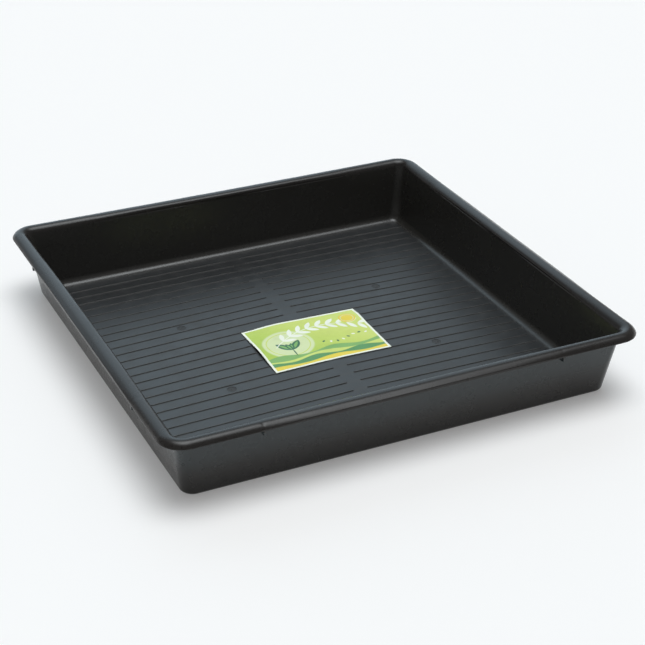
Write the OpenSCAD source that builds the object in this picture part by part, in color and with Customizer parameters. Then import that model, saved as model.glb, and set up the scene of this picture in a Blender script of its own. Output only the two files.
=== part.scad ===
// A square planting tray: one thin moulded shell with a rolled rim, and the printed label stuck to its floor.
// The tray stands on the plane z = 0, centred on the origin. X runs along the front, Y runs to the back.

/* [Tray] */
// Overall width and depth across the rim
side = 800; // [600:10:1200]
// Overall height, from the ground to the crown of the rim
height = 116; // [80:1:160]
// How far each wall leans in from the rim down to the base
wall_lean = 13.6; // [8:0.2:18]
// Thickness of the walls
wall_t = 2.4; // [1.8:0.1:3.2]
// Thickness of the floor
floor_t = 1.8; // [1.6:0.1:3.2]
// How much higher the middle of the floor is than its edge
floor_rise = 10; // [4:0.5:12]

/* [Rim] */
// Width of the rolled rim, seen from above
rim_w = 26; // [22:1:32]
// Height of the rim's rounded crown above its two edges
crown_rise = 8.8; // [6:0.2:10]
// Height of the upright band below the crown's outer edge, down to the lip
lip_band = 1.5; // [1:0.5:6]
// Thickness of the rim's shell
rim_t = 2.6; // [1.8:0.1:3.2]
// Width of the narrow land where the rim meets the inside of the wall
land_w = 0.3; // [0.2:0.1:0.6]

/* [Corners and edges] */
// Radius of the rim's outer corners, seen from above
rim_corner_r = 40; // [38:1:60]
// Radius of the base's outer corners, seen from above
base_corner_r = 22; // [20:1:40]
// Radius of the outer edge between base and wall
base_edge_r = 7.5; // [4:0.5:12]
// Radius of the inner fillet between floor and wall
floor_fillet_r = 14; // [8:1:16]

/* [Floor ribs] */
// Distance from rib to rib
rib_pitch = 25; // [18:1:40]
// Width of a rib
rib_w = 2.4; // [1.6:0.2:4]
// Height of a rib above the floor
rib_h = 1.2; // [0.8:0.1:3]
// Width of the plain strip between the left and right banks of ribs
middle_gap = 25; // [10:1:60]
// How far the rows of ribs lie towards the front from the middle
rib_shift = 2.5; // [0:0.5:6]

/* [Moulding marks] */
// Diameter of the four round gate marks on the floor
mark_d = 16; // [8:1:20]
// Depth of a gate mark below the floor around it
mark_depth = 0.6; // [0.4:0.1:1]
// Distance of the gate marks from the middle, towards left and right
mark_x = 186; // [100:1:220]
// Number of the rib, counted from the middle, behind or before which a mark lies
mark_row = 4; // [2:1:6]

/* [Gussets under the rim] */
// Thickness of a gusset
gusset_t = 3; // [2:0.5:5]
// Distance of a gusset from the middle of its side
gusset_place = 250; // [150:5:255]
// How far a gusset shows below the lip at its outer end
gusset_hang = 8; // [4:0.5:10]
// How far a gusset reaches below the lip where it meets the wall
gusset_reach = 10; // [8:1:16]
// How far a gusset's outer end stands back from the rim's outer face
gusset_back = 1; // [0.6:0.2:1.8]

/* [Label] */
// Width of the label, along X
label_w = 210; // [100:1:210]
// Depth of the label, along Y
label_d = 148; // [70:1:148]
// Thickness of the label
label_t = 0.3; // [0.2:0.05:0.6]
// Place of the label's middle, to the right of the tray's middle
label_x = 2; // [-60:1:60]
// Place of the label's middle, towards the back from the tray's middle
label_y = -30; // [-60:1:60]

/* [Hidden] */
// Cutting tools run this far past what they cut
over = 1;
// Thin slices between which a wall is blended
slice = 0.02;
// Facets of round shapes: the blended walls, and everything else
blend_fn = 32;
round_fn = 96;

// The crown of the rim is an arc over the rim's whole width
crown_r = (pow(rim_w / 2, 2) + pow(crown_rise, 2)) / (2 * crown_rise);
crown_z = height - crown_r;
wall_top_z = height - crown_rise;
lip_z = wall_top_z - lip_band;
rim_corner_c = side / 2 - rim_corner_r;

// Half widths of the wall's outside and inside, at its top and at the ground
top_in_half = side / 2 - rim_w - land_w;
top_out_half = top_in_half + wall_t;
base_half = top_out_half - wall_lean;
floor_half = base_half - wall_t;
lean_slope = wall_lean / wall_top_z;
top_in_r = top_in_half - rim_corner_c;
top_out_r = top_in_r + wall_t;
floor_corner_r = base_corner_r - wall_t;

// The floor rises from this half width, where its fillet ends, to the middle
flat_half = floor_half - floor_fillet_r;
function rise_at(x, y) = floor_rise * (1 - max(abs(x), abs(y)) / flat_half);

// Ribs on each side of the one that lies on the middle line
rib_count = floor((flat_half - rib_w) / rib_pitch);
mark_y = (mark_row + 1 / 2) * rib_pitch;
// A gusset's root follows the middle of the leaning wall
gusset_root = rim_w + land_w - wall_t / 2;
gusset_root_low = gusset_root + (lip_band + gusset_reach) * lean_slope;

module at_corners(half, r) {
    for (sx = [-1, 1], sy = [-1, 1])
        translate([sx * (half - r), sy * (half - r), 0]) children();
}

// A disc with a rounded edge, lying on the plane z = 0
module soft_disc(r, edge_r) {
    translate([0, 0, edge_r])
        rotate_extrude($fn = blend_fn)
            intersection() {
                translate([r - edge_r, 0]) circle(edge_r, $fn = blend_fn);
                translate([0, -edge_r]) square([r, 2 * edge_r]);
            }
}

module pan_outside() {
    hull() {
        at_corners(base_half, base_corner_r) soft_disc(base_corner_r, base_edge_r);
        translate([0, 0, wall_top_z - slice])
            at_corners(top_out_half, top_out_r) cylinder(h = slice, r = top_out_r, $fn = blend_fn);
    }
}

module pan_inside() {
    hull() {
        translate([0, 0, floor_t])
            at_corners(floor_half, floor_corner_r) soft_disc(floor_corner_r, floor_fillet_r);
        translate([0, 0, wall_top_z + over])
            at_corners(top_in_half + over * lean_slope, top_in_r)
                cylinder(h = slice, r = top_in_r, $fn = blend_fn);
    }
}

// Section of the rolled rim, with x = 0 on the axis of the rim's corner
module rim_section() {
    intersection() {
        translate([rim_corner_r - rim_w / 2, crown_z])
            difference() {
                circle(crown_r, $fn = round_fn);
                circle(crown_r - rim_t, $fn = round_fn);
            }
        translate([rim_corner_r - rim_w, lip_z]) square([rim_w, height - lip_z]);
    }
}

module rim() {
    run = 2 * rim_corner_c;
    for (turn = [0:90:270])
        rotate([0, 0, turn]) {
            translate([rim_corner_c, rim_corner_c, 0])
                rotate_extrude(angle = 90, $fn = round_fn) rim_section();
            translate([rim_corner_c, run / 2, 0])
                rotate([90, 0, 0]) linear_extrude(run) rim_section();
        }
}

// A low hipped block whose roof lies `lift` above the rise of the floor
module hipped(lift, foot) {
    outline = [
        [-flat_half, foot], [flat_half, foot], [flat_half, lift],
        [0, lift + floor_rise], [-flat_half, lift]
    ];
    intersection() {
        translate([0, flat_half, 0]) rotate([90, 0, 0]) linear_extrude(2 * flat_half) polygon(outline);
        rotate([0, 0, 90])
            translate([0, flat_half, 0]) rotate([90, 0, 0]) linear_extrude(2 * flat_half) polygon(outline);
    }
}

// Bars over the whole height of the floor, cut to low ribs by the roof above the floor
module rib_bars() {
    bar_l = flat_half - middle_gap / 2;
    bar_h = floor_t + floor_rise + rib_h;
    for (row = [-rib_count:rib_count], sx = [-1, 1])
        translate([sx * (middle_gap + bar_l) / 2, row * rib_pitch - rib_shift, bar_h / 2])
            cube([bar_l, rib_w, bar_h], center = true);
}

// A slanted web from the wall to the lip, closed off at its top by the shell of the rim
module gusset() {
    outline = [
        [gusset_back, height], [gusset_back, lip_z - gusset_hang],
        [gusset_root_low, lip_z - gusset_reach], [gusset_root, wall_top_z], [gusset_root, height]
    ];
    translate([side / 2, gusset_t / 2, 0]) mirror([1, 0, 0])
        rotate([90, 0, 0]) linear_extrude(gusset_t)
            intersection() {
                polygon(outline);
                union() {
                    translate([rim_w / 2, crown_z]) circle(crown_r - rim_t / 2, $fn = round_fn);
                    square([rim_w + land_w, lip_z]);
                }
            }
}

module gate_marks() {
    for (sx = [-1, 1], sy = [-1, 1])
        translate([sx * mark_x, sy * mark_y - rib_shift, floor_t + rise_at(mark_x, mark_y) - mark_depth])
            cylinder(h = mark_depth + over, d = mark_d, $fn = round_fn);
}

module tray() {
    color([0.09, 0.1, 0.105])
        difference() {
            union() {
                difference() {
                    pan_outside();
                    pan_inside();
                }
                rim();
                hipped(floor_t, floor_t / 2);
                intersection() {
                    rib_bars();
                    hipped(floor_t + rib_h, floor_t / 2);
                }
                for (turn = [0:90:270], sy = [-1, 1])
                    rotate([0, 0, turn]) translate([0, sy * gusset_place, 0]) gusset();
            }
            hipped(0, -over);
            gate_marks();
        }
}

// The label lies on the tops of the ribs and follows the rise of the floor
module label() {
    color([0.72, 0.84, 0.3])
        intersection() {
            translate([label_x - label_w / 2, label_y - label_d / 2, 0])
                cube([label_w, label_d, height]);
            difference() {
                hipped(floor_t + rib_h + label_t, floor_t);
                hipped(floor_t + rib_h, floor_t - over);
            }
        }
}

tray();
label();
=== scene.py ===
# %% [markdown]
# # A square planting tray in black plastic
# The real object is a big shallow tray for pots and compost, moulded in one shot: leaning walls, a rolled rim
# to lift it by, a ribbed floor that rises a little towards its middle, and a printed label stuck on the ribs.
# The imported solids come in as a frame. They hold the true sizes, and the pieces made here take their places
# with the softer shapes and the finishes that a solid doesn't have.

# %% Open the frame
import math

import bmesh
import bpy
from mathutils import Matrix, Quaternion, Vector


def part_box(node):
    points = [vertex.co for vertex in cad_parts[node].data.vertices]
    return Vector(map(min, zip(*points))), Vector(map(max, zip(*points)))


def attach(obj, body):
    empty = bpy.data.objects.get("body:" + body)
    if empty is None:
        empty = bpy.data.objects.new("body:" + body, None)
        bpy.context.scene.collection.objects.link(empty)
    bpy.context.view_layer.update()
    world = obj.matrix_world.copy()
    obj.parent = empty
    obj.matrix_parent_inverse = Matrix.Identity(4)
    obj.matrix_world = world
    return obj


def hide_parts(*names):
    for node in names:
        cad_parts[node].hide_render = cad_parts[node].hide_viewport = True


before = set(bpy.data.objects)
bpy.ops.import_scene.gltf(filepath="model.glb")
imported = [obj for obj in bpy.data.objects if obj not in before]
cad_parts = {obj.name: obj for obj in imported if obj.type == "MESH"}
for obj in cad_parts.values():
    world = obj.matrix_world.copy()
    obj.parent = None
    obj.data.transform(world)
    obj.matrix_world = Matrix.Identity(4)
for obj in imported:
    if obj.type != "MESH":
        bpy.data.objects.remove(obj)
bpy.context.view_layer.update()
bpy.ops.object.select_all(action="DESELECT")
scene = bpy.context.scene
print("nodes in the frame:", sorted(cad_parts))

# %% [markdown]
# ## Sizes
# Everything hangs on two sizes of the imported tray, its side and its height. The others are the ones that a
# mould maker would put on the drawing, given here in millimetres and turned into metres by MM.

# %% Sizes of the tray
MM = 0.001
NEAR = 0.01 * MM
tray_low, tray_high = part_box("tray")
SIDE = tray_high.x - tray_low.x
HEIGHT = tray_high.z - tray_low.z

WALL_LEAN = 13.6 * MM
WALL_T = 2.4 * MM
FLOOR_T = 1.8 * MM
FLOOR_RISE = 10 * MM
RIM_W = 26 * MM
CROWN_RISE = 8.8 * MM
LIP_BAND = 1.5 * MM
RIM_T = 2.6 * MM
LAND_W = 0.3 * MM
RIM_CORNER_R = 40 * MM
BASE_CORNER_R = 22 * MM
BASE_EDGE_R = 7.5 * MM
FLOOR_FILLET_R = 14 * MM

CROWN_R = ((RIM_W / 2) ** 2 + CROWN_RISE ** 2) / (2 * CROWN_RISE)
CROWN_Z = HEIGHT - CROWN_R
CROWN_HALF = SIDE / 2 - RIM_W / 2
WALL_TOP_Z = HEIGHT - CROWN_RISE
LIP_Z = WALL_TOP_Z - LIP_BAND
TOP_IN_HALF = SIDE / 2 - RIM_W - LAND_W
TOP_OUT_HALF = TOP_IN_HALF + WALL_T
BASE_HALF = TOP_OUT_HALF - WALL_LEAN
FLOOR_HALF = BASE_HALF - WALL_T
FLAT_HALF = FLOOR_HALF - FLOOR_FILLET_R
print("side %.0f mm, height %.0f mm, crown radius %.2f mm" % (SIDE / MM, HEIGHT / MM, CROWN_R / MM))

# %% [markdown]
# ## The camera
# The photograph looks down on the tray from the front left. The camera stands where the photograph's
# perspective puts it: the outline of the rim and the base, the rows of ribs and the label all fall in place
# from there. Turn, tilt and roll are in radians, and the distance is in metres.

# %% Camera
PHOTO_PIXELS = 645
CAMERA_TURN = -0.44256
CAMERA_TILT = 0.49491
CAMERA_ROLL = 0.0026
CAMERA_DISTANCE = 2.8252
CAMERA_TARGET = Vector((0.04596, 0.03713, 0))
FOCAL_PIXELS = 1635.4
SENSOR = 36

back = Vector((
    math.sin(CAMERA_TURN) * math.cos(CAMERA_TILT),
    -math.cos(CAMERA_TURN) * math.cos(CAMERA_TILT),
    math.sin(CAMERA_TILT),
))
camera_data = bpy.data.cameras.new("camera")
camera = bpy.data.objects.new("camera", camera_data)
scene.collection.objects.link(camera)
camera.location = CAMERA_TARGET + back * CAMERA_DISTANCE
camera.rotation_mode = "QUATERNION"
camera.rotation_quaternion = back.to_track_quat("Z", "Y") @ Quaternion((0, 0, 1), CAMERA_ROLL)
camera_data.sensor_width = SENSOR
camera_data.lens = FOCAL_PIXELS * SENSOR / PHOTO_PIXELS
scene.camera = camera
print("camera at", [round(v, 3) for v in camera.location], "lens %.1f mm" % camera_data.lens)

# %% [markdown]
# ## Hands for the work
# Edit mode acts on what is selected, so the same few moves come back for every piece: pick the object, select
# the vertices that pass a test on their place, cut a straight line across the mesh, and name or settle what
# came out. They are kept here as small helpers.

# %% Helpers for edit mode
def pick(*pieces):
    """Selects these pieces and nothing else, and makes the first one the active one."""
    bpy.ops.object.select_all(action="DESELECT")
    for piece in pieces:
        piece.select_set(True)
    bpy.context.view_layer.objects.active = pieces[0]


def edit(piece):
    """Makes the piece the one that is edited, and enters edit mode."""
    pick(piece)
    bpy.ops.object.mode_set(mode="EDIT")


def leave_edit():
    bpy.ops.object.mode_set(mode="OBJECT")


def select_where(test, mode="VERT"):
    """Selects what lies on the vertices whose place passes the test, and nothing else."""
    bpy.ops.mesh.select_mode(type="VERT")
    bpy.ops.mesh.select_all(action="DESELECT")
    mesh = bpy.context.object.data
    work = bmesh.from_edit_mesh(mesh)
    for vertex in work.verts:
        vertex.select = test(vertex.co)
    work.select_mode = {"VERT"}
    work.select_flush_mode()
    bmesh.update_edit_mesh(mesh)
    bpy.ops.mesh.select_mode(type=mode)


def cut_line(place, normal):
    """Cuts the whole mesh along a plane, which leaves a row of edges there."""
    bpy.ops.mesh.select_all(action="SELECT")
    bpy.ops.mesh.bisect(plane_co=place, plane_no=normal)


def named(name):
    """Gives the new object and its mesh their name."""
    piece = bpy.context.object
    piece.name = name
    piece.data.name = name
    return piece


def settle(piece):
    """Moves the object's place, turn and scale into its mesh, so that the object sits at the origin."""
    pick(piece)
    bpy.ops.object.transform_apply(location=True, rotation=True, scale=True)


# %% [markdown]
# ## The wall, level by level
# Seen from above, every height of the tray's wall is a square with round corners. Only the half width and
# the corner's centre change: the base's corners turn about one point, the rim's about another further out,
# and the leaning wall blends from one to the other. A section extruded along a path can't do that, so the
# wall is a stack of outlines, each one a plane with its corners bevelled, bridged to the one before.
# The section runs from the edge of the floor up the inside, over the crown, round the lip, back under the
# rim, down the outside and in under the base. The crown is squarer than a round bead. Towards the inside it
# follows a squarish ellipse. Towards the outside it runs down a straight slope to a tight shoulder, which
# shows as a bright band with a thin dark face below it.

# %% Numbers and helpers for the section
CORNER_STEPS = 18
FILLET_STEPS = 14
LINE_SHARES = (0.02, 0.35, 0.68, 0.98)
CROWN_STEPS = 14
CROWN_POWER = 2.7
SLOPE_TURN = math.radians(29)
SHOULDER_R = 1.5 * MM
SHOULDER_STEPS = 6
LIP_STEPS = 4
HOLLOW_STEPS = 18
EDGE_STEPS = 10
LIP_OUTER_R = 1.0 * MM
LIP_INNER_R = 0.6 * MM
HOLLOW_R = CROWN_R - RIM_T
HOLLOW_TURN = math.radians(66)
BASE_CENTRE = BASE_HALF - BASE_CORNER_R
RIM_CENTRE = SIDE / 2 - RIM_CORNER_R
OUT, DOWN, IN = math.pi / 2, math.pi, 1.5 * math.pi


def arc(half, z, radius, start, end, steps):
    """Points of an arc in the section. The angle counts from straight up, towards the outside."""
    points = []
    for step in range(steps + 1):
        turn = start + (end - start) * step / steps
        points.append((half + radius * math.sin(turn), z + radius * math.cos(turn)))
    return points


def inner_crown(steps):
    """Points from the inner edge of the crown to its top. A power above 2 makes the ellipse squarer."""
    points = []
    for step in range(steps):
        turn = math.pi / 2 * step / steps
        across, up = math.cos(turn) ** (2 / CROWN_POWER), math.sin(turn) ** (2 / CROWN_POWER)
        points.append((CROWN_HALF - RIM_W / 2 * across, WALL_TOP_Z + CROWN_RISE * up))
    return points


def straight(start, end):
    """Points between two points of the section. The ones close to an end keep the face between them flat."""
    return [(start[0] + (end[0] - start[0]) * s, start[1] + (end[1] - start[1]) * s) for s in LINE_SHARES]


def with_centre(points, centre):
    return [(half, z, centre) for half, z in points]


def with_blended_centre(points):
    """The corner's centre moves outwards on the way up the wall."""
    levels = []
    for half, z in points:
        share = min(max((z - BASE_EDGE_R) / (WALL_TOP_Z - BASE_EDGE_R), 0), 1)
        levels.append((half, z, BASE_CENTRE + (RIM_CENTRE - BASE_CENTRE) * share))
    return levels


# %% The section, from the floor's edge round to the base
in_lean = math.atan2(TOP_IN_HALF - FLOOR_HALF, WALL_TOP_Z - FLOOR_T - FLOOR_FILLET_R)
out_lean = math.atan2(TOP_OUT_HALF - BASE_HALF, WALL_TOP_Z - BASE_EDGE_R)

fillet = arc(FLAT_HALF, FLOOR_T + FLOOR_FILLET_R, FLOOR_FILLET_R, DOWN, OUT + in_lean, FILLET_STEPS)
wall_top_in = (TOP_IN_HALF, WALL_TOP_Z)
crown = inner_crown(CROWN_STEPS) + arc(CROWN_HALF, CROWN_Z, CROWN_R, 0, SLOPE_TURN, SHOULDER_STEPS)
slope_end_half = SIDE / 2 - SHOULDER_R * (1 - math.sin(SLOPE_TURN))
slope_end_z = crown[-1][1] - (slope_end_half - crown[-1][0]) * math.tan(SLOPE_TURN)
crown += straight(crown[-1], (slope_end_half, slope_end_z))
shoulder_z = slope_end_z - SHOULDER_R * math.cos(SLOPE_TURN)
crown += arc(SIDE / 2 - SHOULDER_R, shoulder_z, SHOULDER_R, SLOPE_TURN, OUT, SHOULDER_STEPS)
crown.append((SIDE / 2, WALL_TOP_Z))
lip_inner_half = SIDE / 2 - LIP_OUTER_R - LIP_INNER_R
lip = arc(SIDE / 2 - LIP_OUTER_R, LIP_Z + LIP_OUTER_R, LIP_OUTER_R, OUT, DOWN, LIP_STEPS)
lip += arc(lip_inner_half, LIP_Z + LIP_INNER_R, LIP_INNER_R, DOWN, IN, LIP_STEPS)
hollow = arc(CROWN_HALF, CROWN_Z, HOLLOW_R, HOLLOW_TURN, -HOLLOW_TURN, HOLLOW_STEPS)
wall_top_out = (TOP_OUT_HALF - LIP_BAND * math.tan(out_lean), LIP_Z)
edge = arc(BASE_HALF - BASE_EDGE_R, BASE_EDGE_R, BASE_EDGE_R, OUT + out_lean, DOWN, EDGE_STEPS)

levels = with_centre(fillet, BASE_CENTRE)
levels += with_blended_centre(straight(fillet[-1], wall_top_in))
levels += with_centre([wall_top_in] + crown + lip + hollow, RIM_CENTRE)
levels += with_blended_centre([wall_top_out] + straight(wall_top_out, edge[0]))
levels += with_centre(edge + [(FLAT_HALF, 0)], BASE_CENTRE)
print(len(levels), "levels make the wall")

# %% [markdown]
# Two outlines that lie in one plane are hard to bridge: the operator can't tell which corner belongs to
# which. So the outlines first hang far apart, like the rungs of a ladder. Each one is bridged to the next,
# and only then does every outline move to its own height. They keep their order, so a vertex's number tells
# which outline it belongs to.

# %% Stack and bridge the levels
LEVEL_POINTS = 4 * (CORNER_STEPS + 1)
RUNG = 50 * MM


def add_level(row, half, centre):
    """One outline of the wall: a plane with its corners bevelled round, and its face taken out."""
    bpy.ops.mesh.select_all(action="DESELECT")
    bpy.ops.mesh.primitive_plane_add(size=2 * half, location=(0, 0, row * RUNG))
    bpy.ops.mesh.bevel(offset=half - centre, segments=CORNER_STEPS, profile=0.5, affect="VERTICES")
    bpy.ops.mesh.delete(type="ONLY_FACE")


def bridge_lines(test):
    """Bridges the two loops of edges that pass the test."""
    bpy.ops.mesh.select_mode(type="EDGE")
    bpy.ops.mesh.select_all(action="DESELECT")
    mesh = bpy.context.object.data
    work = bmesh.from_edit_mesh(mesh)
    for line in work.edges:
        line.select = test(line)
    bmesh.update_edit_mesh(mesh)
    bpy.ops.mesh.bridge_edge_loops()


def in_levels(line, first):
    """Whether an edge runs along this level or along the next one."""
    rows = [vertex.index // LEVEL_POINTS for vertex in line.verts]
    return rows[0] == rows[1] and rows[0] in (first, first + 1)


bpy.ops.mesh.primitive_plane_add(size=SIDE)
tray = named("tray_shell")
bpy.ops.object.mode_set(mode="EDIT")
bpy.ops.mesh.delete(type="VERT")
bpy.ops.mesh.select_mode(type="EDGE")
for row, (half, z, centre) in enumerate(levels):
    add_level(row, half, centre)
for row in range(len(levels) - 1):
    bridge_lines(lambda line: in_levels(line, row))
leave_edit()
for vertex in tray.data.vertices:
    vertex.co.z = levels[vertex.index // LEVEL_POINTS][1]
print("wall:", len(tray.data.vertices), "vertices,", len(tray.data.polygons), "faces")

# %% [markdown]
# A long flat face next to the small faces of a corner takes on a little of the corner's shading, all the way
# to its other end. Cuts across the sides keep that close to the corners. More cuts, close together, go where
# the gussets stand under the rim: thick plastic shrinks more as it cools, and there the crown has a slight
# sink. The one at the front left is the deepest, and shows as a crease across the rim.

# %% Cuts across the sides, and the sinks over the gussets
GUSSET_PLACE = 250 * MM
SIDE_CUTS = [v * MM for v in (-336, -300, -150, 0, 150, 300, 336)]
SINK_CUTS = [v * MM for v in (-9, -5, -3, -1.5, 0, 1.5, 3, 5, 9)]
SINK_DEPTH = 0.12 * MM
CREASE_DEPTH = 0.45 * MM
CREASE_REACH = 20 * MM
SINK_WIDTH = 2.6 * MM
SHELL_MIDDLE_R = CROWN_R - RIM_T / 2

edit(tray)
for place in SIDE_CUTS + [sign * GUSSET_PLACE + cut for sign in (-1, 1) for cut in SINK_CUTS]:
    cut_line((place, 0, 0), (1, 0, 0))
    cut_line((0, place, 0), (0, 1, 0))
leave_edit()

for vertex in tray.data.vertices:
    place = vertex.co
    sideways, outwards = sorted((abs(place.x), abs(place.y)))
    arm = Vector((outwards - CROWN_HALF, place.z - CROWN_Z))
    if arm.length > SHELL_MIDDLE_R and place.z > LIP_Z:
        is_crease = place.y < -CROWN_HALF / 2 and -GUSSET_PLACE - CREASE_REACH < place.x < 0
        depth = CREASE_DEPTH if is_crease else SINK_DEPTH
        share = math.exp(-((sideways - GUSSET_PLACE) / SINK_WIDTH) ** 2)
        moved = arm * (1 - depth * share / arm.length)
        place.z = CROWN_Z + moved.y
        grow = (CROWN_HALF + moved.x) / outwards
        if abs(place.x) > abs(place.y):
            place.x *= grow
        else:
            place.y *= grow
print("wall after the cuts:", len(tray.data.polygons), "faces")

# %% [markdown]
# The crown is only that square along the middle of a side, where it has flattened a little as it cooled.
# Towards the corners, which are stiffer, it keeps the round section that the mould gave it. So each vertex on
# the crown goes from the squarer line down to the round one, the more so the closer it lies to a corner.

# %% Round the crown off towards the corners
SQUARE_UNTIL = 160 * MM
ROUND_FROM = 300 * MM


def smooth(value, start, end):
    """Goes smoothly from 0 to 1 while the value goes from start to end."""
    share = min(max((value - start) / (end - start), 0), 1)
    return share * share * (3 - 2 * share)


drops = []
for vertex in tray.data.vertices:
    place = vertex.co
    sideways, outwards = sorted((abs(place.x), abs(place.y)))
    if sideways > RIM_CENTRE:
        outwards = RIM_CENTRE + math.hypot(sideways - RIM_CENTRE, outwards - RIM_CENTRE)
    across = outwards - CROWN_HALF
    if place.z > WALL_TOP_Z - NEAR and math.hypot(across, place.z - CROWN_Z) > SHELL_MIDDLE_R:
        round_z = CROWN_Z + math.sqrt(max(CROWN_R ** 2 - across ** 2, 0))
        drops.append((place.z - min(round_z, place.z)) * smooth(sideways, SQUARE_UNTIL, ROUND_FROM))
        place.z -= drops[-1]
print("the crown comes down by up to %.2f mm" % (max(drops) / MM))

# %% [markdown]
# ## The ribbed floor
# The floor carries rows of low ribs, one every 25 mm, in a left and a right bank with a plain strip between
# them. All rows are alike, so one strip of floor, one pitch deep, gets its two ribs by extruding, and an
# Array modifier repeats the strip. Each rib is drafted, as a mould needs, and its edges are rounded off.

# %% One strip of floor with its two ribs
RIB_PITCH = 25 * MM
RIB_ROWS = 27
RIB_W = 2.6 * MM
RIB_H = 1.2 * MM
RIB_TOP_SHARE = 0.6
RIB_EDGE_R = 0.3 * MM
MIDDLE_GAP = 25 * MM
FIELD_HALF = 345 * MM
RIB_END = 343.4 * MM
RIB_END_SLOPE = 3 * MM
RIB_START_SLOPE = 0.5 * MM
STRIP_CUTS = 14
RIB_SHIFT = 2.5 * MM
FIRST_ROW = -(RIB_ROWS - 1) / 2 * RIB_PITCH - RIB_SHIFT
CUTS_FROM_ROW = (RIB_W / 2, RIB_W * 1.5)

bpy.ops.mesh.primitive_plane_add(size=1, location=(0, FIRST_ROW, FLOOR_T))
floor_top = named("ribbed_floor")
settle(floor_top)
edit(floor_top)
bpy.ops.mesh.select_all(action="SELECT")
bpy.ops.transform.resize(value=(2 * FIELD_HALF, RIB_PITCH, 1), center_override=(0, FIRST_ROW, FLOOR_T))
rib_run = RIB_END - MIDDLE_GAP / 2
for side in (-1, 1):
    for cut in range(STRIP_CUTS + 1):
        x = MIDDLE_GAP / 2 + rib_run * cut / STRIP_CUTS
        cut_line((side * x, 0, 0), (1, 0, 0))
for side in (-1, 1):
    for apart in CUTS_FROM_ROW:
        cut_line((0, FIRST_ROW + side * apart, 0), (0, 1, 0))
cut_line((0, 0, 0), (1, 0, 0))


def on_rib(place):
    return (abs(place.y - FIRST_ROW) < RIB_W / 2 + NEAR
            and MIDDLE_GAP / 2 - NEAR < abs(place.x) < RIB_END + NEAR)


select_where(on_rib, "FACE")
bpy.ops.mesh.extrude_region_move(TRANSFORM_OT_translate={"value": (0, 0, RIB_H)})
bpy.ops.transform.resize(value=(1, RIB_TOP_SHARE, 1), center_override=(0, FIRST_ROW, FLOOR_T))
rib_top_z = FLOOR_T + RIB_H - NEAR
for side in (-1, 1):
    select_where(lambda p: p.z > rib_top_z and side * p.x > RIB_END - NEAR)
    bpy.ops.transform.translate(value=(-side * RIB_END_SLOPE, 0, 0))
    select_where(lambda p: p.z > rib_top_z and 0 < side * p.x < MIDDLE_GAP / 2 + NEAR)
    bpy.ops.transform.translate(value=(side * RIB_START_SLOPE, 0, 0))
select_where(lambda p: p.z > rib_top_z, "FACE")
bpy.ops.mesh.region_to_loop()
bpy.ops.mesh.bevel(offset=RIB_EDGE_R, segments=2, affect="EDGES")
leave_edit()
print("one strip of floor:", len(floor_top.data.polygons), "faces")

# %% [markdown]
# The Array modifier sets the strips side by side and merges the edges where they meet. In front of the first
# row and behind the last one a plain margin is left, which is drawn out from the outer edges.

# %% Repeat the strip and finish the margins
rows = floor_top.modifiers.new("rows", "ARRAY")
rows.count = RIB_ROWS
rows.use_relative_offset = False
rows.use_constant_offset = True
rows.constant_offset_displace = (0, RIB_PITCH, 0)
rows.use_merge_vertices = True
rows.merge_threshold = NEAR
bpy.ops.object.modifier_apply(modifier=rows.name)

edit(floor_top)
for side in (-1, 1):
    field_edge = side * RIB_ROWS / 2 * RIB_PITCH - RIB_SHIFT
    select_where(lambda p: side * (p.y - field_edge) > -NEAR, "EDGE")
    bpy.ops.mesh.extrude_region_move(
        TRANSFORM_OT_translate={"value": (0, side * FIELD_HALF - field_edge, 0)})
leave_edit()
print(RIB_ROWS, "rows of ribs in two banks")

# %% [markdown]
# ## The rise of the floor
# A flat floor this wide would sag under wet compost, so the mould gives it a crown: it is highest in the
# middle and falls to all four sides, which also lets water run to the edges. No operator draws this curve,
# so each vertex is lifted by a formula. The underside is a plain grid lifted the same way.

# %% Lift the floor and its underside
RISE_POWER_X = 1.12
RISE_POWER_Y = 1.59
UNDERSIDE_CELLS = 28


def rise(x, y):
    """How high the floor lies above its edge at a place, in metres."""
    along = 1 - min(abs(x) / FLAT_HALF, 1) ** RISE_POWER_X
    across = 1 - min(abs(y) / FLAT_HALF, 1) ** RISE_POWER_Y
    return FLOOR_RISE * along * across


def lift(piece):
    for vertex in piece.data.vertices:
        vertex.co.z += rise(vertex.co.x, vertex.co.y)


bpy.ops.mesh.primitive_grid_add(
    x_subdivisions=UNDERSIDE_CELLS, y_subdivisions=UNDERSIDE_CELLS, size=2 * FIELD_HALF, location=(0, 0, 0))
floor_under = named("floor_underside")
lift(floor_top)
lift(floor_under)
print("floor: %d faces, highest point %.2f mm" % (
    len(floor_top.data.polygons), max(v.co.z for v in floor_top.data.vertices) / MM))

# %% [markdown]
# The tray is one shot of plastic, so floor and wall have to be one closed skin. The three meshes are joined,
# and the open edges are bridged to the wall, first at the top of the floor and then at its underside. With
# no edge left open, Blender can tell inside from outside and turns all faces outwards.

# %% Join floor and wall
def join(pieces, name):
    """Makes one object out of several."""
    pick(*pieces)
    bpy.ops.object.join()
    return named(name)


def is_open(line, side):
    """Whether an edge is open and lies above (1) or below (-1) the middle of the floor's thickness."""
    return line.is_boundary and all(side * (vertex.co.z - FLOOR_T / 2) > 0 for vertex in line.verts)


tray = join([tray, floor_top, floor_under], "tray_shell")
edit(tray)
for side in (1, -1):
    bridge_lines(lambda line: is_open(line, side))
bpy.ops.mesh.select_all(action="SELECT")
bpy.ops.mesh.remove_doubles(threshold=NEAR)
bpy.ops.mesh.normals_make_consistent(inside=False)
leave_edit()
print("shell:", len(tray.data.polygons), "faces")

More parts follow.
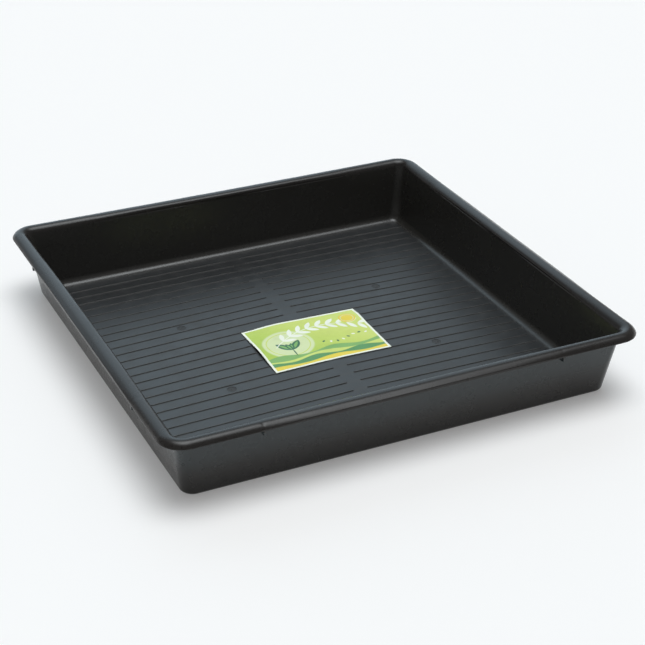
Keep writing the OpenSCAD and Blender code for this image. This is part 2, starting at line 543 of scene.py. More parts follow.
# %% [markdown]
# ## Gate marks
# Plastic enters the mould at four points, and each leaves a shallow round recess in the floor with the stub
# of the gate in its middle. A punch is shaped to the recess and copied. The four punches are turned to the
# slope of the floor and taken away from the shell with a Boolean modifier, which is the way to cut a hole
# that follows no row of edges.

# %% Punch the four gate marks
MARK_R = 8 * MM
MARK_DEPTH = 0.6 * MM
MARK_X = 186 * MM
MARK_Y = 112.5 * MM
MARK_EDGE_R = 0.35 * MM
STUB_R = 1.3 * MM
STUB_H = 0.3 * MM
STUB_TOP_SHARE = 0.6
PUNCH_H = 4 * MM
PUNCH_SIDES = 48
SLOPE_STEP = 1 * MM


def floor_normal(x, y):
    """Straight up from the floor at a place."""
    slope_x = (rise(x + SLOPE_STEP, y) - rise(x - SLOPE_STEP, y)) / (2 * SLOPE_STEP)
    slope_y = (rise(x, y + SLOPE_STEP) - rise(x, y - SLOPE_STEP)) / (2 * SLOPE_STEP)
    return Vector((-slope_x, -slope_y, 1)).normalized()


def copied(piece):
    """A copy of the piece with its own mesh."""
    pick(piece)
    bpy.ops.object.duplicate()
    return bpy.context.object


def boolean(piece, tool, operation):
    """Adds or takes away the tool, and throws the tool away."""
    bpy.context.view_layer.objects.active = piece
    step = piece.modifiers.new("cut", "BOOLEAN")
    step.operation = operation
    step.solver = "EXACT"
    step.object = tool
    bpy.ops.object.modifier_apply(modifier=step.name)
    bpy.data.objects.remove(tool)


bpy.ops.mesh.primitive_cylinder_add(
    vertices=PUNCH_SIDES, radius=MARK_R, depth=PUNCH_H, location=(0, 0, PUNCH_H / 2))
punch = named("punch")
settle(punch)
edit(punch)
select_where(lambda p: p.z < NEAR, "FACE")
bpy.ops.mesh.bevel(offset=MARK_EDGE_R, segments=3, affect="EDGES")
select_where(lambda p: p.z < NEAR, "FACE")
bpy.ops.mesh.inset(thickness=MARK_R - MARK_EDGE_R - STUB_R, depth=0)
bpy.ops.mesh.extrude_region_move(TRANSFORM_OT_translate={"value": (0, 0, STUB_H)})
bpy.ops.transform.resize(value=(STUB_TOP_SHARE, STUB_TOP_SHARE, 1), center_override=(0, 0, STUB_H))
leave_edit()

marks = [(x, y - RIB_SHIFT) for x in (-MARK_X, MARK_X) for y in (-MARK_Y, MARK_Y)]
punches = [punch] + [copied(punch) for _ in marks[1:]]
for punch, (x, y) in zip(punches, marks):
    up = floor_normal(x, y)
    punch.location = Vector((x, y, FLOOR_T + rise(x, y))) - up * MARK_DEPTH
    punch.rotation_euler = up.to_track_quat("Z", "Y").to_euler()
    settle(punch)
boolean(tray, join(punches, "punches"), "DIFFERENCE")
print("tray with gate marks:", len(tray.data.polygons), "faces")

# %% [markdown]
# ## Gussets under the rim
# Eight thin webs tie the rolled rim to the wall. A web fills the roll of the rim and hangs a little below its
# lip, so that its tip shows as a small dark tooth. One web starts as a disc that fits the roll: the part
# below the lip is cut off, the cut face is pulled down, and its corners are moved to the slant. The two webs
# of one side are made like that. The other six are copies of them, turned about the middle of the tray, and
# all of them are united with the shell.

# %% Two gussets, copied round the rim
GUSSET_T = 3 * MM
GUSSET_HANG = 8 * MM
GUSSET_REACH = 10 * MM
GUSSET_BACK = 1 * MM
GUSSET_EDGE_R = 0.4 * MM
GUSSET_SIDES = 72
lean_slope = WALL_LEAN / WALL_TOP_Z
gusset_root = TOP_IN_HALF + WALL_T / 2 - (LIP_BAND + GUSSET_REACH) * lean_slope


def add_gusset(place):
    """One web under the rim of the right side, at this place along it."""
    bpy.ops.mesh.primitive_cylinder_add(
        vertices=GUSSET_SIDES, radius=SHELL_MIDDLE_R, depth=GUSSET_T,
        location=(CROWN_HALF, place, CROWN_Z), rotation=(math.pi / 2, 0, 0))
    web = named("gusset")
    settle(web)
    edit(web)
    bpy.ops.mesh.select_all(action="SELECT")
    bpy.ops.mesh.bisect(plane_co=(0, 0, LIP_Z), plane_no=(0, 0, 1), clear_inner=True, use_fill=True)
    select_where(lambda p: p.z < LIP_Z + NEAR, "FACE")
    bpy.ops.mesh.extrude_region_move(TRANSFORM_OT_translate={"value": (0, 0, -GUSSET_HANG)})
    low_z = LIP_Z - GUSSET_HANG + NEAR
    low_x = [v.co.x for v in bmesh.from_edit_mesh(web.data).verts if v.co.z < low_z]
    select_where(lambda p: p.z < low_z and p.x > CROWN_HALF)
    bpy.ops.transform.translate(value=(SIDE / 2 - GUSSET_BACK - max(low_x), 0, 0))
    select_where(lambda p: p.z < low_z and p.x < CROWN_HALF)
    bpy.ops.transform.translate(value=(gusset_root - min(low_x), 0, GUSSET_HANG - GUSSET_REACH))
    select_where(lambda p: p.z < low_z, "FACE")
    bpy.ops.mesh.bevel(offset=GUSSET_EDGE_R, segments=2, affect="EDGES")
    leave_edit()
    return web


pair = [add_gusset(place) for place in (-GUSSET_PLACE, GUSSET_PLACE)]
gussets = list(pair)
for quarter in (1, 2, 3):
    for web in pair:
        turned = copied(web)
        turned.rotation_euler.z = quarter * math.pi / 2
        settle(turned)
        gussets.append(turned)
boolean(tray, join(gussets, "gussets"), "UNION")
print("tray with gussets:", len(tray.data.polygons), "faces")

# %% [markdown]
# ## The bow of the sides
# Thin walls this long never stay quite straight. As the plastic cools, the middle of each side is drawn in
# and down by about a millimetre, while the stiff corners keep their place. The photograph shows it as a
# slight hollow in the line of the rim.

# %% Draw the sides in
BOW = 1.0 * MM
SAG = 0.8 * MM
BOW_POWER = 1.5
for vertex in tray.data.vertices:
    place = vertex.co
    high = max(place.z / HEIGHT, 0) ** BOW_POWER
    if max(abs(place.x), abs(place.y)) > FLAT_HALF:
        middle_x = max(1 - (place.x / RIM_CENTRE) ** 2, 0) if abs(place.y) > FLAT_HALF else 0
        middle_y = max(1 - (place.y / RIM_CENTRE) ** 2, 0) if abs(place.x) > FLAT_HALF else 0
        place.y -= math.copysign(BOW * high * middle_x, place.y)
        place.x -= math.copysign(BOW * high * middle_y, place.x)
        place.z -= SAG * high * max(middle_x, middle_y)
print("the sides bow in by %.1f mm and sag by %.1f mm" % (BOW / MM, SAG / MM))

# %% [markdown]
# A mesh with an open edge or a face turned inwards would print and render badly. So the finished shell is
# measured once: no edge may be open, and the volume has to be the plastic's own, a little over two litres.

# %% Look at the mesh
check = bmesh.new()
check.from_mesh(tray.data)
open_edges = sum(1 for line in check.edges if not line.is_manifold)
print("tray: %d faces, %d open edges, volume %.0f cm3" % (
    len(check.faces), open_edges, check.calc_volume() / (10 * MM) ** 3))
check.free()

# %% [markdown]
# ## Working with shader nodes
# A finish is a chain of nodes. These helpers keep the chains short to write: one adds a node and fills its
# sockets, the others are the few nodes that every finish here uses again and again. Patterns read Object
# coordinates. The pieces aren't moved or scaled, so these are metres in the tray's own frame, and every
# pattern has its true size.

# %% Helpers for shader nodes
NOISE_ROUGHNESS = 0.55
NUMBER_RESULTS = ("LENGTH", "DISTANCE", "DOT_PRODUCT")


class Board:
    """A node tree, and short ways to add nodes to it."""

    def __init__(self, tree, coordinates):
        self.tree = tree
        self.place = self.add("TexCoord").outputs[coordinates]
        self.x, self.y, self.z = self.add("SeparateXYZ", {0: self.place}).outputs

    def put(self, socket, value):
        """Fills a socket with a plain value, or links it to the output of another node."""
        if isinstance(value, bpy.types.NodeSocket):
            self.tree.links.new(value, socket)
        else:
            socket.default_value = value

    def add(self, kind, sockets=None, **settings):
        made = self.tree.nodes.new("ShaderNode" + kind)
        for setting, value in settings.items():
            setattr(made, setting, value)
        for socket, value in (sockets or {}).items():
            self.put(made.inputs[socket], value)
        return made

    def calc(self, operation, *values):
        return self.add("Math", dict(enumerate(values)), operation=operation).outputs[0]

    def vector(self, operation, *values):
        """Arithmetic with places and directions. The result is a vector, or a number for a few operations."""
        made = self.add("VectorMath", dict(enumerate(values)), operation=operation)
        return made.outputs["Value" if operation in NUMBER_RESULTS else "Vector"]

    def fade(self, value, start, end, low=0.0, high=1.0):
        """Goes smoothly from low to high while the value goes from start to end."""
        sockets = {"Value": value, "From Min": start, "From Max": end, "To Min": low, "To Max": high}
        return self.add("MapRange", sockets, interpolation_type="SMOOTHSTEP").outputs["Result"]

    def noise(self, size, detail=2.0, stretch=(1, 1, 1)):
        """Noise with lumps about as large as size, stretched along the axes."""
        spread = self.add("Mapping", {"Vector": self.place, "Scale": [1 / share for share in stretch]})
        sockets = {
            "Vector": spread.outputs[0], "Scale": 1 / size, "Detail": detail, "Roughness": NOISE_ROUGHNESS}
        return self.add("TexNoise", sockets).outputs["Fac"]

    def distance(self, place, squash=(1, 1, 1)):
        """Distance from a place, in metres. Squash shortens the distance along an axis."""
        apart = self.vector("SUBTRACT", self.place, place)
        return self.vector("LENGTH", self.vector("MULTIPLY", apart, squash))

    def paint(self, under, over, share):
        """Lays a colour over another one, where the share is high. 6, 7 and 2 are the colour sockets."""
        return self.add("Mix", {0: share, 6: under, 7: over}, data_type="RGBA").outputs[2]

    def total(self, *values):
        """The sum of several values."""
        result = values[0]
        for value in values[1:]:
            result = self.calc("ADD", result, value)
        return result

    def bump(self, *layers):
        """Relief from several patterns, each with its depth in metres, laid over one another."""
        relief = None
        for height, depth in layers:
            sockets = {"Height": height, "Distance": depth, "Strength": 1.0}
            if relief is not None:
                sockets["Normal"] = relief
            relief = self.add("Bump", sockets).outputs[0]
        return relief


def colour(red, green, blue):
    """A colour as a screen shows it, from 0 to 255, turned into the light that the shader wants."""
    return tuple(((part / 255 + 0.055) / 1.055) ** 2.4 for part in (red, green, blue)) + (1,)


def new_finish(name):
    material = bpy.data.materials.new(name)
    material.use_nodes = True
    return material, material.node_tree.nodes["Principled BSDF"], Board(material.node_tree, "Object")


# %% [markdown]
# ## Black plastic
# The tray is moulded in recycled polypropylene: a deep black, satin rather than glossy. Plastic like this is
# never even. It flows from the four gates in broad clouds and has a fine grain from the mould, and the round
# recesses, where the gates were cut, are rougher. So each pattern that the finish needs is laid out first, at
# its true size: where the floor, the rim and the outside of the walls are, and where clouds, patches, grain
# and streaks run.

# %% Black plastic: where its parts and patterns lie
black, shader, board = new_finish("black_plastic")
FLOOR_FADE = (FLAT_HALF - 3 * MM, FLAT_HALF + 7 * MM)
RIM_FADE = (LIP_Z - 3 * MM, WALL_TOP_Z + 2 * MM)
PAINTED_LIGHT_OUTSIDE_FADE = (0, -0.05)
PAINTED_SHEEN_FADE = (30 * MM, 75 * MM)
MARK_FADE = (MARK_R - 0.5 * MM, MARK_R)
CLOUD_SIZE = 70 * MM
PATCH_SIZE = 18 * MM
GRAIN_SIZE = 0.9 * MM
STREAK_SIZE = 3 * MM
STREAK_STRETCH = (1, 1, 14)

across_x, across_y = board.calc("ABSOLUTE", board.x), board.calc("ABSOLUTE", board.y)
on_floor = board.fade(board.calc("MAXIMUM", across_x, across_y), *FLOOR_FADE, 1, 0)
on_rim = board.fade(board.z, *RIM_FADE)
normal = board.add("NewGeometry").outputs["Normal"]
# Painted light on the outside of the walls: the faces that look downwards get painted shade, and from 30 to
# 75 mm up a painted cool sheen fades in over it
painted_light_outside = board.fade(board.add("SeparateXYZ", {0: normal}).outputs[2], *PAINTED_LIGHT_OUTSIDE_FADE)
painted_sheen_outside = board.calc("MULTIPLY", painted_light_outside, board.fade(board.z, *PAINTED_SHEEN_FADE))
clouds = board.noise(CLOUD_SIZE, detail=3)
patches = board.noise(PATCH_SIZE, detail=4)
grain = board.noise(GRAIN_SIZE, detail=2)
streaks = board.noise(STREAK_SIZE, detail=2, stretch=STREAK_STRETCH)

from_middle_row = board.calc("ABSOLUTE", board.calc("ADD", board.y, RIB_SHIFT))
folded = board.add("CombineXYZ", {0: across_x, 1: from_middle_row, 2: 0.0}).outputs[0]
to_gate = board.vector("DISTANCE", folded, (MARK_X, MARK_Y, 0))
in_mark = board.calc("MULTIPLY", board.fade(to_gate, *MARK_FADE, 1, 0), on_floor)
print("the gate marks lie %.0f mm from the middle" % (math.hypot(MARK_X, MARK_Y) / MM))

# %% [markdown]
# Dust settles where nobody wipes: in the corner between a rib and the floor, and in thin patches all over the
# floor. Scuffs are where other things have rubbed: short light smears, broken up by the grain. Their places
# are the ones that the photograph shows, on the inside of the right and back walls and outside on the front.

# %% Dust and scuffs
RIB_FOOT_FADE = (0.16, 0.06)
RIB_FOOT_DUST = 0.6
PATCH_DUST_FADE = (0.42, 0.75)
PATCH_DUST = 0.3
DUST_SHARE = 0.35
SCUFF_GRAIN = 2.2 * MM
SCUFF_GRAIN_FADE = (0.42, 0.6)
SCUFF_EDGE_FADE = (1.2, 0.3)
# Place and size of each scuff in millimetres, and how strong it is
SCUFFS = (
    ((366, 92, 77), (1.2, 3.0, 9.0), 0.5),
    ((-245, 366, 38), (7.0, 1.5, 2.5), 0.35),
    ((-215, 366, 44), (4.0, 1.5, 2.0), 0.25),
    ((-348, -366, 38), (2.5, 1.5, 4.0), 0.35),
    ((293, -368, 42), (2.5, 1.5, 2.0), 0.5),
)
from_row_edge = board.calc("ADD", board.y, RIB_SHIFT + RIB_PITCH / 2)
along = board.calc("FRACT", board.calc("DIVIDE", from_row_edge, RIB_PITCH))
from_rib = board.calc("ABSOLUTE", board.calc("SUBTRACT", along, 0.5))
dust_here = board.total(
    board.calc("MULTIPLY", board.fade(from_rib, *RIB_FOOT_FADE), RIB_FOOT_DUST),
    board.fade(patches, *PATCH_DUST_FADE, 0, PATCH_DUST))
dust = board.calc("MULTIPLY", board.calc("MULTIPLY", dust_here, on_floor), DUST_SHARE)

scuffed = None
broken = board.fade(board.noise(SCUFF_GRAIN, detail=3), *SCUFF_GRAIN_FADE)
for place, size, strength in SCUFFS:
    reach = board.distance([v * MM for v in place], [1 / (v * MM) for v in size])
    smear = board.calc("MULTIPLY", board.fade(reach, *SCUFF_EDGE_FADE, 0, strength), broken)
    scuffed = smear if scuffed is None else board.calc("MAXIMUM", scuffed, smear)
print(len(SCUFFS), "scuffs")

# %% [markdown]
# The walls are a little warmer than the floor and the rim is the deepest black. The outside of the walls,
# where the faces look downwards, is painted darker as painted shade, and towards the top a painted cool sheen
# makes it greyer and cooler. The clouds change the roughness and the relief but not the colour, so they show
# in the reflections only. Grain and streaks are far too fine to model, so a bump gives them.

# %% Black plastic: colour, roughness and bump
WALL_BLACK = (0.0290, 0.0275, 0.0245, 1)
FLOOR_BLACK = (0.0220, 0.0232, 0.0240, 1)
# Painted shade for the outside of the walls, and a painted cool sheen for its upper part
OUTSIDE_PAINTED_SHADE = (0.0165, 0.0155, 0.0140, 1)
OUTSIDE_PAINTED_SHEEN = (0.0215, 0.0295, 0.0315, 1)
RIM_BLACK = (0.0185, 0.0162, 0.0148, 1)
DUST = (0.075, 0.071, 0.064, 1)
WALL_ROUGHNESS = 0.27
FLOOR_ROUGHNESS = 0.35
MARK_ROUGHNESS = 0.24
DUST_ROUGHNESS = 0.5
SCUFF_ROUGHNESS = 0.5
NOISE_SPAN = (0.3, 0.7)
CLOUD_ROUGHNESS = (-0.025, 0.025)
PATCH_ROUGHNESS = (-0.015, 0.02)
GRAIN_DEPTH = 0.006 * MM
STREAK_DEPTH = 0.004 * MM
CLOUD_DEPTH = 0.08 * MM

body = board.paint(WALL_BLACK, FLOOR_BLACK, on_floor)
# Painted shade on the outside of the walls, then a painted cool sheen towards its top
body = board.paint(body, OUTSIDE_PAINTED_SHADE, painted_light_outside)
body = board.paint(body, OUTSIDE_PAINTED_SHEEN, painted_sheen_outside)
body = board.paint(body, RIM_BLACK, on_rim)
body = board.paint(body, DUST, board.calc("MAXIMUM", dust, scuffed))
board.put(shader.inputs["Base Color"], body)

board.put(shader.inputs["Roughness"], board.total(
    board.fade(on_floor, 0, 1, WALL_ROUGHNESS, FLOOR_ROUGHNESS),
    board.fade(clouds, *NOISE_SPAN, *CLOUD_ROUGHNESS),
    board.fade(patches, *NOISE_SPAN, *PATCH_ROUGHNESS),
    board.calc("MULTIPLY", in_mark, MARK_ROUGHNESS),
    board.calc("MULTIPLY", dust, DUST_ROUGHNESS),
    board.calc("MULTIPLY", scuffed, SCUFF_ROUGHNESS),
))
relief = board.bump((clouds, CLOUD_DEPTH), (streaks, STREAK_DEPTH), (grain, GRAIN_DEPTH))
board.put(shader.inputs["Normal"], relief)
print("black plastic:", len(black.node_tree.nodes), "nodes")

# %% [markdown]
# In the photograph the crown of the rim throws back less light than the walls do. How much a surface throws
# back is one number on the shader's own socket, so the crown gets a copy of the finish with its own number,
# and the faces of the crown are given to it.

# %% The crown's own finish
CROWN_SPECULAR = 0.35
CROWN_FROM_Z = WALL_TOP_Z - 1.2 * MM
TRAY_SMOOTH_ANGLE = math.radians(50)
crown_black = black.copy()
crown_black.name = "black_plastic_crown"
crown_black.node_tree.nodes["Principled BSDF"].inputs["Specular IOR Level"].default_value = CROWN_SPECULAR
tray.data.materials.clear()
tray.data.materials.append(black)
tray.data.materials.append(crown_black)
for face in tray.data.polygons:
    face.material_index = 1 if face.center.z > CROWN_FROM_Z else 0
pick(tray)
bpy.ops.object.shade_smooth_by_angle(angle=TRAY_SMOOTH_ANGLE)
print("crown:", sum(face.material_index for face in tray.data.polygons), "faces")

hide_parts("tray")
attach(tray, "root")

# %% [markdown]
# ## The label
# The label is a sheet of printed film, A5 in size, stuck on the tops of the ribs. It is tight on each rib,
# sags a little between two of them and more over the plain strip in the middle. Its edges have come loose in
# three places: there the film lifts off in a low wave, and its outline isn't straight any more. A fine grid
# takes this shape vertex by vertex, and Solidify gives it the film's thickness.

# %% The label
LABEL_W = 210 * MM
LABEL_D = 148 * MM
LABEL_X = 2 * MM
LABEL_Y = -30 * MM
LABEL_T = 0.2 * MM
LABEL_CELLS = (84, 74)
LABEL_GAP = 0.04 * MM
RIPPLE = 0.3 * MM
MIDDLE_DIP = 0.5 * MM
DIP_HALF = MIDDLE_GAP / 2 + 6 * MM
LABEL_SMOOTH_ANGLE = math.radians(40)
# Middle and reach of each loose wave, and its height, in millimetres from the label's middle
LOOSE_EDGES = (((-105, -2), (30, 38), 3.2), ((-48, 74), (35, 25), 2.0), ((105, 46), (20, 18), 2.0))


def lift_off(x, y):
    """How far the film has come off the ribs at a place."""
    height = 0
    for (wave_x, wave_y), (reach_x, reach_y), top in LOOSE_EDGES:
        away_x = (x - LABEL_X - wave_x * MM) / (reach_x * MM)
        away_y = (y - LABEL_Y - wave_y * MM) / (reach_y * MM)
        height += top * MM * math.exp(-away_x ** 2 - away_y ** 2)
    return height


def label_height(x, y):
    """Height of the film's underside above the floor at a place."""
    row = (y + RIB_SHIFT) / RIB_PITCH
    ripple = RIPPLE * math.sin(math.pi * row) ** 2
    over_strip = max(1 - (x / DIP_HALF) ** 2, 0) ** 2
    return RIB_H + LABEL_GAP - ripple * (1 - over_strip) - MIDDLE_DIP * over_strip + lift_off(x, y)


bpy.ops.mesh.primitive_grid_add(x_subdivisions=LABEL_CELLS[0], y_subdivisions=LABEL_CELLS[1], size=1)
label = named("printed_label")
edit(label)
bpy.ops.mesh.select_all(action="SELECT")
bpy.ops.transform.resize(value=(LABEL_W, LABEL_D, 1), center_override=(0, 0, 0))
bpy.ops.transform.translate(value=(LABEL_X, LABEL_Y, 0))
leave_edit()
for vertex in label.data.vertices:
    place = vertex.co
    place.z = FLOOR_T + rise(place.x, place.y) + label_height(place.x, place.y)

film = label.modifiers.new("film", "SOLIDIFY")
film.thickness = LABEL_T
film.offset = 1
bpy.ops.object.modifier_apply(modifier=film.name)
bpy.ops.object.shade_smooth_by_angle(angle=LABEL_SMOOTH_ANGLE)
print("label:", len(label.data.polygons), "faces")

# %% [markdown]
# ## The print on the label
# The print is drawn in the shader, layer over layer, as a printer lays down inks: a lime ground, a pale
# round field with a seedling, wavy bands like rows in a garden, a yellow disc, an arc of white leaves and a
# few seeds. A disc is a distance from a point, a leaf is where two discs overlap, and a band is everything
# below a wave. The motifs are made up for this tray. The sheet keeps a white border.

# %% Inks and motifs, in millimetres from the middle of the label
film_print, shader, board = new_finish("label_print")
PAPER = colour(240, 244, 228)
LIME = colour(176, 204, 74)
LIME_LIGHT = colour(206, 220, 110)
PALE = colour(214, 226, 172)
LEAF_GREEN = colour(126, 176, 92)
MID_GREEN = colour(84, 148, 84)
DARK_GREEN = colour(34, 104, 66)
YELLOW = colour(232, 210, 60)
SOFT = 0.35 * MM

u = board.calc("SUBTRACT", board.x, LABEL_X)
v = board.calc("SUBTRACT", board.y, LABEL_Y)


def disc(x, y, radius, soft=SOFT):
    """Share of ink in a disc."""
    apart = board.distance((LABEL_X + x * MM, LABEL_Y + y * MM, 0), (1, 1, 0))
    return board.fade(apart, radius * MM + soft, radius * MM - soft)


def ring(x, y, outer, inner):
    return board.calc("SUBTRACT", disc(x, y, outer), disc(x, y, inner))


def away(x, y, length, turn):
    """The place that lies this far from another one. Turn is the direction, in degrees."""
    return x + length * math.cos(math.radians(turn)), y + length * math.sin(math.radians(turn))


def leaf(x, y, turn, length, width):
    """A leaf is where two discs overlap. Turn is the direction it points in, in degrees."""
    half_length, half_width = length / 2, width / 2
    radius = (half_length ** 2 + half_width ** 2) / (2 * half_width)
    out_x, out_y = -math.sin(math.radians(turn)), math.cos(math.radians(turn))
    apart = radius - half_width
    left = disc(x + out_x * apart, y + out_y * apart, radius)
    right = disc(x - out_x * apart, y - out_y * apart, radius)
    return board.calc("MINIMUM", left, right)


def below_wave(height, swing, length, start):
    """Everything in front of a wavy line that runs along the label."""
    wave = board.calc("SINE", board.calc("ADD", board.calc("MULTIPLY", u, math.tau / (length * MM)), start))
    line = board.calc("ADD", board.calc("MULTIPLY", wave, swing * MM), height * MM)
    return board.fade(board.calc("SUBTRACT", v, line), SOFT, -SOFT)


# %% The ground, the pale field and the wavy bands
LIME_FADE = (-90 * MM, 90 * MM)
FIELD_X, FIELD_Y = -50, 2
FIELD_R, FIELD_RING = 44, (38, 36)
FIELD_SOFT = 2 * MM
# Height, swing and length of each wave, where it starts, and its ink
WAVES = (
    (-34, 4.5, 96, 0.4, LEAF_GREEN),
    (-44, 4, 120, 2.0, LIME_LIGHT),
    (-51, 3.5, 84, 3.2, MID_GREEN),
    (-61, 3, 110, 1.0, YELLOW),
)
ink = board.paint(LIME, LIME_LIGHT, board.fade(board.calc("ADD", u, v), *LIME_FADE))
ink = board.paint(ink, PALE, disc(FIELD_X, FIELD_Y, FIELD_R, FIELD_SOFT))
ink = board.paint(ink, LIME_LIGHT, ring(FIELD_X, FIELD_Y, *FIELD_RING))
for height, swing, length, start, tone in WAVES:
    ink = board.paint(ink, tone, below_wave(height, swing, length, start))
print(len(WAVES), "wavy bands")

# %% The seedling
SEEDLING_FOOT = (FIELD_X, -18)
SEEDLING_LEAVES = ((52, 34), (128, 34), (78, 22), (102, 22))
LEAF_WIDTH = 0.4
VEIN_LENGTH, VEIN_WIDTH = 0.7, 0.16
STALK = (FIELD_X, -27, 90, 24, 2.4)
for turn, length in SEEDLING_LEAVES:
    x, y = away(*SEEDLING_FOOT, 0.5 * length, turn)
    ink = board.paint(ink, DARK_GREEN, leaf(x, y, turn, length, LEAF_WIDTH * length))
    ink = board.paint(ink, LEAF_GREEN, leaf(x, y, turn, VEIN_LENGTH * length, VEIN_WIDTH * length))
ink = board.paint(ink, DARK_GREEN, leaf(*STALK))
print(len(SEEDLING_LEAVES), "leaves on the seedling")

# %% The arc of white leaves
ARC = (24, -92)
ARC_R = 132
STEM_HALF = 0.9
STEM_FADES = ((-76 * MM, -70 * MM), (66 * MM, 60 * MM))
PAIRS = 9
FIRST_PAIR, PAIR_STEP = 126, 8.2
PAIR_SPREAD = 42
WHITE_LEAF = (24, 8.5)
stem = ring(*ARC, ARC_R + STEM_HALF, ARC_R - STEM_HALF)
for fade in STEM_FADES:
    stem = board.calc("MULTIPLY", stem, board.fade(u, *fade))
ink = board.paint(ink, PAPER, stem)
for pair in range(PAIRS):
    around = FIRST_PAIR - PAIR_STEP * pair
    for side in (-1, 1):
        tip = around - 90 + side * PAIR_SPREAD
        x, y = away(*away(*ARC, ARC_R, around), WHITE_LEAF[0] / 2, tip)
        ink = board.paint(ink, PAPER, leaf(x, y, tip, *WHITE_LEAF))
print(PAIRS, "pairs of white leaves")

# %% The yellow disc, the seeds and the border
DISC = (80, 46)
DISC_R, DISC_RING = 15, (12, 10.6)
SEEDS = 8
SEED_X, SEED_STEP = 8, 11.5
SEED_Y, SEED_SWING, SEED_WAVE = -14, 7, 0.8
SEED_TURN, SEED_TURN_STEP = 40, 25
SEED_SIZE = (7, 4)
BORDER = 4 * MM
BORDER_SOFT = 0.2 * MM
ink = board.paint(ink, YELLOW, disc(*DISC, DISC_R))
ink = board.paint(ink, PALE, ring(*DISC, *DISC_RING))
for seed in range(SEEDS):
    x, y = SEED_X + SEED_STEP * seed, SEED_Y - SEED_SWING * math.sin(SEED_WAVE * seed)
    one_seed = leaf(x, y, SEED_TURN + SEED_TURN_STEP * seed, *SEED_SIZE)
    ink = board.paint(ink, PAPER if seed % 2 else DARK_GREEN, one_seed)
to_edge = board.calc(
    "MAXIMUM",
    board.calc("SUBTRACT", board.calc("ABSOLUTE", u), LABEL_W / 2),
    board.calc("SUBTRACT", board.calc("ABSOLUTE", v), LABEL_D / 2))
ink = board.paint(ink, PAPER, board.fade(to_edge, -BORDER - BORDER_SOFT, -BORDER + BORDER_SOFT))
print(SEEDS, "seeds,", len(film_print.node_tree.nodes), "nodes")

# %% [markdown]
# Print on film isn't quite even: the inks sit in tiny dots, the film has picked up a little dust, and its
# gloss is broken by fine scratches.

# %% Finish the film
DOT_SIZE = 0.5 * MM
DOT_FADE = (0.55, 0.8)
DOT_SHARE = 0.10
DOT_DEPTH = 0.004 * MM
HANDLING_SIZE = 22 * MM
HANDLING_FADE = (0.5, 0.85)
HANDLING_DUST = 0.10
SCRATCH_SIZE = 4 * MM
SCRATCH_STRETCH = (5, 1, 1)
SCRATCH_FADE = (0.4, 0.7)
FILM_ROUGHNESS = (0.36, 0.46)
SCRATCH_ROUGHNESS = 0.08
WRINKLE_SIZE = 14 * MM
WRINKLE_DEPTH = 0.12 * MM

dots = board.noise(DOT_SIZE, detail=1)
handling = board.noise(HANDLING_SIZE, detail=4)
scratches = board.noise(SCRATCH_SIZE, detail=3, stretch=SCRATCH_STRETCH)
ink = board.paint(ink, DUST, board.fade(handling, *HANDLING_FADE, 0, HANDLING_DUST))
ink = board.paint(ink, PAPER, board.fade(dots, *DOT_FADE, 0, DOT_SHARE))
board.put(shader.inputs["Base Color"], ink)
board.put(shader.inputs["Roughness"], board.total(
    board.fade(handling, *NOISE_SPAN, *FILM_ROUGHNESS),
    board.fade(scratches, *SCRATCH_FADE, 0, SCRATCH_ROUGHNESS)))
relief = board.bump((board.noise(WRINKLE_SIZE, detail=2), WRINKLE_DEPTH), (dots, DOT_DEPTH))
board.put(shader.inputs["Normal"], relief)
label.data.materials.append(film_print)
print("label print:", len(film_print.node_tree.nodes), "nodes")

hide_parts("label")
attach(label, "root")

# %% [markdown]
# ## The studio
# Black plastic shows little light of its own. What it shows is what it mirrors, so the studio is built from
# the things that stand round such a tray: one large soft box overhead, a little to the right; a bright
# backdrop at the back, which the floor of the tray mirrors towards the camera; and a dim room with a pale
# skirting at the back, so that the walls stay dark. They are far away compared with the tray, so they are
# painted on the world by their direction. The ground is a plain sheet of white paper.

# %% Paint the studio on the world
ROOM = 0.2
SKIRTING = 0.85
SKIRTING_FROM, SKIRTING_TO = math.radians(5), math.radians(11)
SKIRTING_SIDES = (-0.3, 0.3)
BACKDROP = (0.97, 1.20, 1.36, 1)
BACKDROP_TURN = math.radians(9)
BACKDROP_REACH = math.radians(42)
BACKDROP_FADES, BACKDROP_ENDS = math.radians(42), math.radians(64)
SOFT_BOX = (5.75, 6.0, 6.15, 1)
SOFT_BOX_TURN = math.radians(80)
SOFT_BOX_UP = math.radians(85)
SOFT_BOX_REACH = math.radians(29.5)


def grey(level):
    return (level, level, level, 1)


world = bpy.data.worlds.new("studio")
scene.world = world
world.use_nodes = True
board = Board(world.node_tree, "Generated")


def patch(turn, up, reach):
    """Share of a round soft patch of light. Turn counts from the back towards the right."""
    middle = (math.sin(turn) * math.cos(up), math.cos(turn) * math.cos(up), math.sin(up))
    return board.fade(board.vector("DOT_PRODUCT", board.place, middle), math.cos(reach), 1)


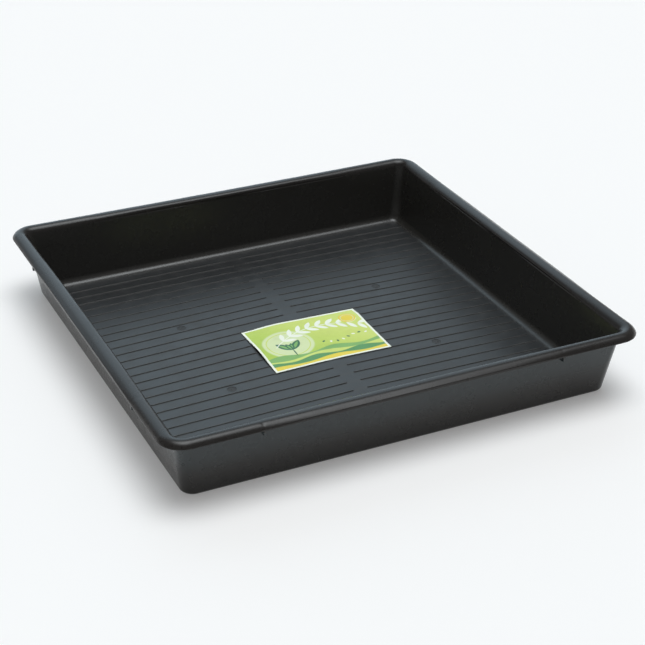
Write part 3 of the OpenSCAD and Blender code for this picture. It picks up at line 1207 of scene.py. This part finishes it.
level_direction = board.vector("NORMALIZE", board.vector("MULTIPLY", board.place, (1, 1, 0)))
to_backdrop = board.vector(
    "DOT_PRODUCT", level_direction, (math.sin(BACKDROP_TURN), math.cos(BACKDROP_TURN), 0))
backdrop = board.calc(
    "MULTIPLY",
    board.fade(to_backdrop, math.cos(BACKDROP_REACH), 1),
    board.fade(board.z, math.sin(BACKDROP_FADES), math.sin(BACKDROP_ENDS), 1, 0))
skirting = board.calc(
    "MULTIPLY",
    board.fade(board.z, math.sin(SKIRTING_FROM), math.sin(SKIRTING_TO), 1, 0),
    board.fade(to_backdrop, *SKIRTING_SIDES))

light = board.paint(grey(ROOM), grey(SKIRTING), skirting)
light = board.paint(light, BACKDROP, backdrop)
light = board.paint(light, SOFT_BOX, patch(SOFT_BOX_TURN, SOFT_BOX_UP, SOFT_BOX_REACH))
background = world.node_tree.nodes["Background"]
board.put(background.inputs["Color"], light)
board.put(background.inputs["Strength"], 1.0)
print("studio:", len(world.node_tree.nodes), "nodes")

# %% [markdown]
# The ground keeps the tray's soft shadow. Camera and glossy rays see a share of plain white in it, as the
# photograph has a white ground, and so does the plastic that mirrors it. From below, the paper is left out,
# so that the underside of the tray can be looked at.

# %% The ground
GROUND_SIZE = 20
GROUND_COLOUR = (0.95, 0.93, 0.915, 1)
PAPER_GLOW = 0.2
bpy.ops.mesh.primitive_plane_add(size=GROUND_SIZE, location=(0, 0, -NEAR))
ground = named("ground")
settle(ground)
paper, shader, board = new_finish("ground_paper")
shader.inputs["Base Color"].default_value = GROUND_COLOUR
shader.inputs["Roughness"].default_value = 1
shader.inputs["Specular IOR Level"].default_value = 0
ray = board.add("LightPath").outputs
seen = board.calc("MAXIMUM", ray["Is Camera Ray"], ray["Is Glossy Ray"])
glow_share = board.calc("MULTIPLY", seen, PAPER_GLOW)
glow = board.add("Emission", {"Color": grey(1), "Strength": 1.0}).outputs[0]
white = board.add("MixShader", {0: glow_share, 1: shader.outputs[0], 2: glow}).outputs[0]
from_below = board.add("NewGeometry").outputs["Backfacing"]
clear = board.add("BsdfTransparent").outputs[0]
surface = board.add("MixShader", {0: from_below, 1: white, 2: clear}).outputs[0]
board.put(paper.node_tree.nodes["Material Output"].inputs["Surface"], surface)
print("ground:", len(paper.node_tree.nodes), "nodes")
ground.data.materials.append(paper)
scene.view_settings.view_transform = "Standard"
